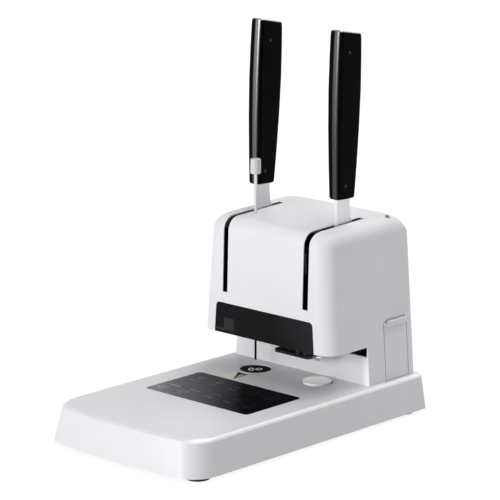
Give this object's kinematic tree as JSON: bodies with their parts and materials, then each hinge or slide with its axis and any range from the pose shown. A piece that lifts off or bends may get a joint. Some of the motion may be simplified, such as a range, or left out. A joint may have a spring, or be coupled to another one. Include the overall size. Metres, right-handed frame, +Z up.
{
  "type": "document riveting machine",
  "caption": "Desk machine on a flat base with a touch panel; two upright levers lower a hollow drill and a heated rivet die in a deep head.",
  "frame": {"origin": "centre of the footprint on the desk", "axes": "+X to the machine's right, -Y out of the front, +Z up"},
  "size_m": [0.2, 0.33, 0.3804],
  "materials": {
    "white_plastic": "satin white",
    "black_panel": "gloss black",
    "black_rubber": "matt black",
    "grip_plastic": "fine-grained black",
    "black_plastic": "matt black",
    "black_metal": "satin black",
    "grey_plastic": "matt pale grey",
    "tan_plastic": "matt tan",
    "smoked_sheet": "smoked gloss",
    "steel": "brushed",
    "dark_steel": "dark satin",
    "bright_steel": "polished",
    "spring_wire": "drawn wire",
    "cast": "machined",
    "brass": "turned",
    "board": "green lacquer"
  },
  "bodies": {
    "base": {"base_shell": "white_plastic", "bottom_plate": "black_metal", "rubber_feet": "black_rubber", "touch_panel": "black_panel", "control_board": "board", "tube_gauge": "tan_plastic", "mat_ring": "bright_steel", "lower_die": "brass", "lower_heater": "cast", "throat_panel": "white_plastic", "head_shell": "white_plastic", "rear_cover": "grey_plastic", "under_cover": "black_plastic", "smoked_window": "smoked_sheet", "side_frame_left": "black_metal", "side_frame_right": "black_metal", "lower_guide_plate": "black_metal", "upper_guide_plate": "black_metal", "lever_shaft": "steel", "drill_guide_rods": "bright_steel", "rivet_guide_rods": "bright_steel", "needle_bush": "brass", "power_supply": "board", "mains_inlet": "black_plastic", "switch_frame": "black_plastic", "case_screws": "dark_steel", "drill_return_spring": "spring_wire", "rivet_return_spring": "spring_wire"},
    "drill_lever": {"lever_bar_left": "steel", "drill_pinion": "steel", "grip_left": "grip_plastic", "grip_screws_left": "bright_steel"},
    "rivet_lever": {"lever_bar_right": "steel", "rivet_pinion": "steel", "grip_right": "grip_plastic", "grip_screws_right": "bright_steel"},
    "drill_carriage": {"drill_slide": "black_metal", "drill_rack": "steel", "drive_motor": "dark_steel", "drive_belt": "black_rubber", "spindle_bearings": "brass"},
    "spindle": {"drill_spindle": "steel", "drill_chuck": "dark_steel", "hollow_drill": "steel", "spindle_pulley": "cast"},
    "motor_rotor": {"motor_pulley": "cast"},
    "rivet_carriage": {"rivet_slide": "black_metal", "rivet_rack": "steel", "die_heater": "dark_steel", "upper_die": "bright_steel", "paper_press": "black_metal"},
    "needle": {"clearing_needle": "dark_steel", "needle_knob": "white_plastic"},
    "mat": {"drill_mat": "black_rubber"},
    "cap": {"die_cap": "white_plastic"},
    "drawer": {"drawer_front": "white_plastic", "drawer_box": "grey_plastic"},
    "switch": {"switch_rocker": "black_plastic"}
  },
  "joints": [
    {"name": "drill_lever_swing", "type": "hinge", "parent": "base", "child": "drill_lever", "pos_m": [0, 0.0915, 0.128], "axis": [1, 0, 0], "range_deg": [0, 88]},
    {"name": "rivet_lever_swing", "type": "hinge", "parent": "base", "child": "rivet_lever", "pos_m": [0, 0.0915, 0.128], "axis": [1, 0, 0], "range_deg": [0, 88]},
    {"name": "drill_feed", "type": "slide", "parent": "base", "child": "drill_carriage", "axis": [0, 0, -1], "range_m": [0, 0.0308], "stiffness_N_per_m": 900, "springref_m": -0.03, "deforming": ["drill_return_spring"]},
    {"name": "rivet_press", "type": "slide", "parent": "base", "child": "rivet_carriage", "axis": [0, 0, -1], "range_m": [0, 0.0193], "stiffness_N_per_m": 2000, "springref_m": -0.015, "deforming": ["rivet_return_spring"]},
    {"name": "spindle_spin", "type": "hinge", "parent": "drill_carriage", "child": "spindle", "pos_m": [-0.0406, 0.0705, 0.12], "axis": [0, 0, 1], "continuous": true},
    {"name": "motor_spin", "type": "hinge", "parent": "drill_carriage", "child": "motor_rotor", "pos_m": [0, 0.062, 0.12], "axis": [0, 0, 1], "continuous": true},
    {"name": "needle_lift", "type": "slide", "parent": "base", "child": "needle", "axis": [0, 0, 1], "range_m": [-0.005, 0.03]},
    {"name": "mat_turn", "type": "hinge", "parent": "base", "child": "mat", "pos_m": [-0.035, 0.0646, 0.035], "axis": [0, 0, 1], "continuous": true},
    {"name": "cap_lift", "type": "slide", "parent": "base", "child": "cap", "axis": [0, 0, -1], "range_m": [-0.018, 0]},
    {"name": "drawer_pull", "type": "slide", "parent": "base", "child": "drawer", "axis": [1, 0, 0], "range_m": [0, 0.055]},
    {"name": "switch_rock", "type": "hinge", "parent": "base", "child": "switch", "pos_m": [0.002, 0.15882, 0.064], "axis": [1, 0, 0], "range_deg": [0, 12]}
  ],
  "couplings": [
    {"joint": "drill_feed", "follows": "drill_lever_swing", "m_per_rad": 0.02},
    {"joint": "rivet_press", "follows": "rivet_lever_swing", "m_per_rad": 0.0125},
    {"joint": "motor_spin", "follows": "spindle_spin", "ratio": 1.4615}
  ]
}
